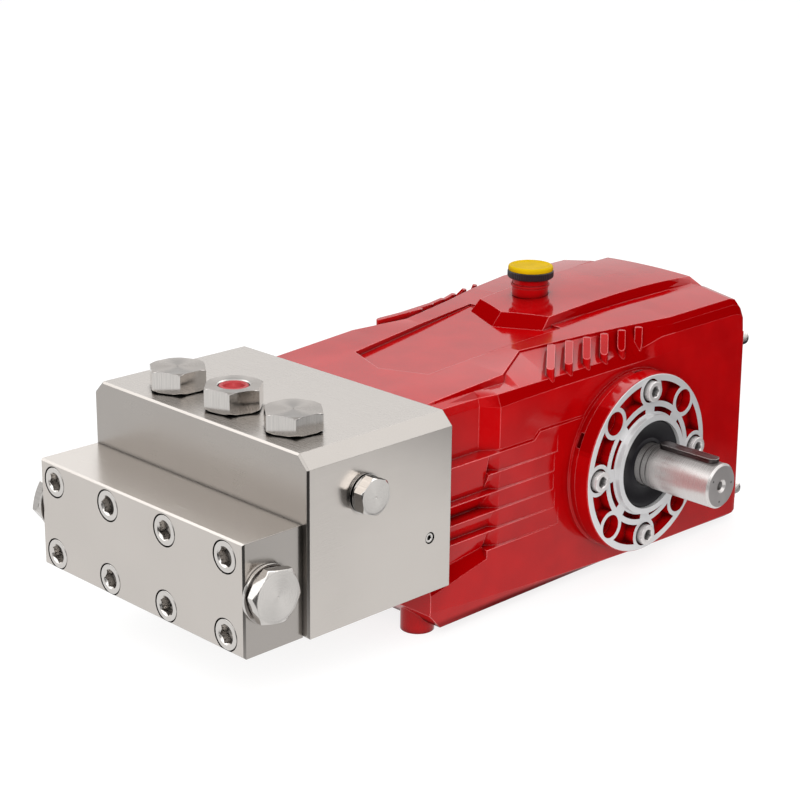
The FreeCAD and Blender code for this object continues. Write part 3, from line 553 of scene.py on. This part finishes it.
def screwProfile(s):
    # shank, knurled side, rounded rim, face, and a hexagon socket with a countersunk mouth and a drilled floor;
    # in the mouth r = flats * (mouth - sink * t) and z = height - flats * sink * t, t from 0 to 1
    (r, h), (shankR, shankL), flats = s["head"], s["shank"], s["flats"]
    depth, edge = h * socket["depth"], min(0.9, r * 0.09)
    knurl = 1 if r > socket["knurledFrom"] else 0
    rows = [(0, -shankL), (shankR, -shankL)] + ([(shankR, 0)] if shankR < r else [])
    rows += [(r - 0.3, 0), (r, 0.3, 0, knurl), (r, h * 0.5, 0, knurl), (r, h - edge - 0.5, 0, knurl),
             (r, h - edge - 0.2)]
    rows += rounded(r - edge, h - edge, edge, 15, 90)
    rows += [(r * 0.75, h)]
    rows += [(flats * (socket["mouth"] - socket["sink"] * t), h - flats * socket["sink"] * t, 2)
             for t in np.linspace(0, 1, 5)]
    return rows + [(flats * socket["wall"], h - depth, 2), (flats * socket["floor"], h - depth - 0.1),
                   (0, h - depth - flats * socket["drill"])]


for name, s in screwSets.items():
    parts = [carried(screwProfile(s), spot, side, s["flats"], socket["turn"] + socket["eachTurn"] * n % 60, steps=144,
                     ribs=socket["knurls"], ribDepth=socket["knurlDepth"])
             for n, (spot, side) in enumerate(zip(s["spots"], s["sides"]))]
    makePiece(name + "_heads", parts, s["steel"], (name,))
print("socket screws are made")

# Port cap, washers, seal and filler
portCap = {"spot": (4.0, -268.0, 188.5), "r": 10.7, "h": 8.5, "dish": 4.6, "rim": 1.5,
           "look": {"colour": (0.37, 0.03, 0.034, 1), "roughness": 0.4, "edge": 0.4, "gloss": 0.3}}
washer = {"outer": 20.3, "inner": 12.3, "h": 2.5, "round": 0.35, "look": {"roughness": 0.16},
          "spots": {"right": (108.35, -330.5, 94.8), "left": (-112.15, -330.5, 94.8)}}
seal = {"outer": 34.8, "inner": 16.75, "face": 118.3, "back": 109.3,
        "look": {"colour": (0.008, 0.007, 0.009, 1), "roughness": 0.36, "edge": 0.2, "gloss": 0.22}}
filler = {"spot": (-12.0, 53.0, 0), "ringLow": 214.4, "ringR": 18.4, "ringH": 6.1, "capR": 17.9, "capH": 4.0,
          "ribs": 60, "ribDepth": 0.35, "neckR": 14.4, "neckLow": 200.2, "collarR": 15.4, "collarLow": 207.6,
          "collarH": 2.2, "neckEdge": 0.4,
          "grip": {"colour": (0.014, 0.012, 0.016, 1), "roughness": 0.42, "edge": 0.1, "gloss": 0.5},
          "lid": {"colour": (0.57, 0.37, 0.003, 1), "roughness": 0.35, "edge": 0.4, "gloss": 0.015}}
holeRing = {"outer": 9.25, "inner": 7.7, "floor": 102.7, "top": 108.0, "pitch": 1.4, "edge": 0.15,
            "turns": [45, 135, 225, 315]}


def capProfile(c):
    # plain wall, rolled rim, and a dish whose depth is (dish + 1.2) * (1 - t * t) ** 0.6, t from 1 at its edge to 0
    r, h, rim = c["r"], c["h"], c["rim"]
    rows = [(0, 0), (r - 0.4, 0), (r, 0.4)] + rounded(r - rim, h - rim, rim, 0, 90, 7)
    rows += rounded(r - 1.2 * rim, h - 0.5 * rim, 0.5 * rim, 90, 170, 4)
    inner = r - 2.1 * rim
    return rows + [(inner * t, h - 0.55 * rim - (c["dish"] + 1.2) * (1 - t * t) ** 0.6)
                   for t in np.linspace(1, 0, 12)]


def washerProfile(w):
    # flat ring with rounded outer edges and a chamfered bore
    outer, inner, h, edge = w["outer"], w["inner"], w["h"], w["round"]
    low, high = rounded(outer - edge, edge, edge, -90, 0, 4), rounded(outer - edge, h - edge, edge, 0, 90, 4)
    return [(inner, 0)] + low + high + [(inner + 0.5, h), (inner, h - 0.5)]


def sealProfile(s):
    # rubber case, a groove inside its rim, a shallow dish, and a dust lip that leans on the shaft's neck
    o, i, f, b = s["outer"], s["inner"], s["face"], s["back"]
    case = [(i + 0.3, b), (o - 0.5, b), (o, b + 0.5), (o, f - 0.6), (o - 0.5, f - 0.1), (o - 1.2, f)]
    dish = [(o - 2.0, f - 0.5), (o - 3.4, f - 1.2), (i + 9.0, f - 2.4), (i + 5.0, f - 2.7)]
    lip = [(i + 3.4, f - 2.5), (i + 2.2, f - 1.6), (i + 0.9, f - 1.2), (i + 0.05, f - 1.5), (i + 0.6, f - 3.2)]
    return case + dish + lip


def neckProfile(n):
    # cast neck with one rounded bead round it and a soft foot
    r, z, low, high = n["neckR"], n["neckLow"], n["collarLow"], n["collarLow"] + n["collarH"]
    rows = [(0, z), (r, z), (r, z + 0.9), (r + 0.05, z + 1.2), (r, low - 0.7), (r + 0.35, low - 0.15)]
    rows += rounded(n["collarR"] - 0.9, low + 0.9, 0.9, -80, 0, 4)
    rows += rounded(n["collarR"] - 0.9, high - 0.9, 0.9, 0, 80, 4)
    return rows + [(r + 0.35, high + 0.15), (r, high + 0.7), (r, n["ringLow"]), (0, n["ringLow"])]


def gripProfile(n):
    # black grip ring: ribbed side, rounded edges
    r, z, h = n["ringR"], n["ringLow"], n["ringH"]
    rows = [(0, z), (r - 2.2, z), (r - 0.9, z + 0.25), (r - 0.25, z + 0.9)]
    rows += [(r, z + 1.3, 0, 1), (r, z + h / 2, 0, 1), (r, z + h - 1.1, 0, 1)]
    return rows + [(r - 0.15, z + h - 0.5), (r - 0.6, z + h - 0.05), (n["capR"] - 0.9, z + h), (0, z + h)]


def lidProfile(n):
    # yellow lid: a small foot, a soft shoulder, a raised rim, and a shallow dish 0.25 * (1 - t * t) deep
    r, z, h = n["capR"], n["ringLow"] + n["ringH"], n["capH"]
    rows = [(0, z), (r - 0.4, z), (r - 0.1, z + 0.3), (r, z + 0.8)] + rounded(r - 1.9, z + h - 1.9, 1.9, 0, 90, 9)
    rows += [(r - 2.6, z + h), (r - 3.1, z + h - 0.12), (r - 3.6, z + h - 0.5), (r - 4.2, z + h - 0.72)]
    return rows + [((r - 4.6) * t, z + h - 0.78 - 0.25 * (1 - t * t)) for t in np.linspace(1, 0, 7)]


def holeProfile(n):
    # rings cut inside an open flange hole, each a small V, one pitch after the other from its floor to its top
    inner, outer, pitch = n["inner"], n["outer"], n["pitch"]
    rows, x = [(outer, n["floor"]), (inner + 0.8, n["floor"])], n["floor"]
    while x < n["top"] - pitch:
        rows += [(inner, x + pitch * 0.3), (inner + 0.55, x + pitch * 0.95)]
        x += pitch
    return rows + [(inner + 0.9, n["top"]), (outer, n["top"])]


makePiece("port_cap_dished", [carried(capProfile(portCap), portCap["spot"], "up")],
          softPlastic("capRed", portCap["look"]), ("port_cap",))
for side, spot in washer["spots"].items():
    name = "block_washer_" + side
    makePiece(name + "_ring", [carried(washerProfile(washer), spot, side, closed=True)],
              turnedSteel(name, spot, side, washer["look"]), (name,))
makePiece("shaft_seal_lips", [carried(sealProfile(seal), (0, flangeY, flangeZ), "right", steps=160, closed=True)],
          softPlastic("sealRubber", seal["look"]), ("shaft_seal",))
makePiece("filler_neck_cast", [carried(neckProfile(filler), filler["spot"], "up")],
          castPaint("neckPaint", filler["neckEdge"]), ("filler_neck",))
makePiece("filler_ring_grip", [carried(gripProfile(filler), filler["spot"], "up", steps=360, ribs=filler["ribs"],
                                       ribDepth=filler["ribDepth"])],
          softPlastic("ringBlack", filler["grip"]), ("filler_ring",))
makePiece("filler_cap_lid", [carried(lidProfile(filler), filler["spot"], "up", steps=128)],
          softPlastic("capYellow", filler["lid"]), ("filler_cap",))
holePaint = castPaint("holePaint", holeRing["edge"])
for side in ("right", "left"):
    centres = [(0, flangeY + flange["circle"] * math.cos(a), flangeZ + flange["circle"] * math.sin(a))
               for a in np.radians(holeRing["turns"])]
    parts = [carried(holeProfile(holeRing), centre, side, steps=72, closed=True) for centre in centres]
    makePiece("hole_rings_" + side, parts, holePaint)
print("caps, washers, seal and filler are made")


# Floor, sky and lights
floorLook = {"half": 9.0, "colour": (0.93, 0.93, 0.925, 1), "speckTone": 0.99, "roughness": 0.6, "gloss": 0.2,
             "lift": 0.75, "liftGlow": 1.1, "nearGlow": 0.85, "farGlow": 0.02, "rearSpan": (0.08, 0.36),
             "shadeSpan": (0.36, 0.50), "asideSpan": (0.08, 0.25), "shadeGlow": 0.03}
sky = {"fill": 0.72, "seen": 1.05, "low": 0.3, "far": 0.86, "farSpan": (-0.3, 0.4), "high": 2.1,
       "highSpan": (0.34, 0.62), "above": 0.8, "aboveSpan": (0.70, 0.92)}
lights = {"topSoftbox": {"place": (-0.6, 0.5, 1.9), "aim": (0, 0, 0.1), "size": 1.8, "watts": 24.0},
          "frontSoftbox": {"place": (0.58, -0.72, 0.58), "aim": (0.05, -0.08, 0.1), "size": 0.5, "watts": 7.2}}
white = (1, 1, 1, 1)


def buildFloor():
    # a wide pale floor; seen and lit, it glows to an even white; mirrored in the gloss of the pump it is a painted
    # glow that falls off towards the rear and the right front, as in a half-lit studio
    data = bpy.data.meshes.new("studioFloor")
    s = floorLook["half"]
    data.from_pydata([(-s, -s, 0), (s, -s, 0), (s, s, 0), (-s, s, 0)], [], [(0, 1, 2, 3)])
    floor = bpy.data.objects.new("studioFloor", data)
    bpy.context.scene.collection.objects.link(floor)
    g = newMaterial("studioFloor")
    speck = g.noise(g.place(), 3.0, 2.0)
    grey = g.mix(g.span(speck, *noiseRange), floorLook["colour"], toned(floorLook["colour"], floorLook["speckTone"]))
    glow = g.span(g.along(g.place(), 1), *floorLook["rearSpan"], floorLook["nearGlow"], floorLook["farGlow"])
    rightFront = g.vector("DOT_PRODUCT", g.place(), (0.707, -0.707, 0))
    shade = g.times(g.span(rightFront, *floorLook["shadeSpan"]),
                    g.span(g.along(g.place(), 0), *floorLook["asideSpan"]))
    glow = g.times(glow, g.span(shade, 0.0, 1.0, 1.0, floorLook["shadeGlow"]))
    mirrored = g.add("ShaderNodeEmission", Color=white, Strength=glow)
    lit = g.surface(Base_Color=grey, Roughness=floorLook["roughness"], Specular_IOR_Level=floorLook["gloss"])
    lifted = g.add("ShaderNodeEmission", Color=white, Strength=floorLook["liftGlow"])
    lit = g.either(floorLook["lift"], lit, lifted)
    isMirrored = g.add("ShaderNodeLightPath").outputs["Is Glossy Ray"]
    data.materials.append(g.finish(g.either(isMirrored, lit, mirrored)))


def buildSky():
    # white to the camera and an even light on the pump; mirrored, it is dark low down on the camera's side,
    # paler behind the pump, brightest halfway up and softer straight above
    g = Graph(bpy.data.worlds.new("softSky"), "ShaderNodeOutputWorld")
    direction = g.add("ShaderNodeTexCoord").outputs["Generated"]
    height = g.along(direction, 2)
    behind = g.vector("DOT_PRODUCT", direction, (-0.7, 0.7, 0.0))
    mirrored = g.span(behind, *sky["farSpan"], sky["low"], sky["far"], smooth=True)
    mirrored = g.blend(g.span(height, *sky["highSpan"], smooth=True), mirrored, sky["high"])
    mirrored = g.blend(g.span(height, *sky["aboveSpan"], smooth=True), mirrored, sky["above"])
    path = g.add("ShaderNodeLightPath").outputs
    strength = g.blend(path["Is Glossy Ray"], sky["fill"], mirrored)
    strength = g.blend(path["Is Camera Ray"], strength, sky["seen"])
    bpy.context.scene.world = g.finish(g.add("ShaderNodeBackground", Color=white, Strength=strength))


def softLight(name, light):
    # a square lamp that lights the pump and isn't mirrored in it
    data = bpy.data.lights.new(name, "AREA")
    data.shape, data.size, data.size_y, data.energy = "RECTANGLE", light["size"], light["size"], light["watts"]
    lamp = bpy.data.objects.new(name, data)
    lamp.location, lamp.visible_glossy = light["place"], False
    lamp.rotation_euler = (Vector(light["aim"]) - Vector(light["place"])).to_track_quat("-Z", "Y").to_euler()
    bpy.context.scene.collection.objects.link(lamp)


placeCamera()
bpy.context.scene.view_settings.view_transform = "Standard"
buildFloor()
buildSky()
for name, light in lights.items():
    softLight(name, light)
print("camera, floor and lights are in place")

# Finishes of the imported parts
# the tones of head and block are painted light and shade: a lighter or darker copy of the steel for each way a face
# turns
head = {"faceShades": (1.06, 0.74, 0.9, 0.82, 0.57), "roughs": (0.24, 0.3, 0.28)}
block = {"faceShades": (0.70, 1.06, 1.2, 0.9, 0.7), "roughs": (0.2, 0.2, 0.24)}
casting = {"edge": 1.1}
bearingCap = {"colour": (0.012, 0.012, 0.014, 1), "roughness": 0.5, "edge": 0.4, "gloss": 0.5}


def dress(name, material):
    data = nodes[name].data
    data.materials.clear()
    data.materials.append(material)


def middle(name):
    low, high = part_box(name)
    return (low + high) / 2


dress("pump_head", groundSteel("headSteel", head["faceShades"], head["roughs"]))
dress("front_block", groundSteel("blockSteel", block["faceShades"], block["roughs"]))
dress("drive_shaft", shaftSteel("shaftSteel", middle("drive_shaft")))
dress("shaft_key", drawnSteel("keySteel"))
casePaint = castPaint("casePaint", casting["edge"])
for name in ("crankcase", "rear_cover"):
    dress(name, casePaint)
dress("bearing_flange_right", flangePaint("flangePaintRight", 1.0))
dress("bearing_flange_left", flangePaint("flangePaintLeft", -1.0))
dress("bearing_cap_left", softPlastic("capRubber", bearingCap))
print("materials are on the packed parts")
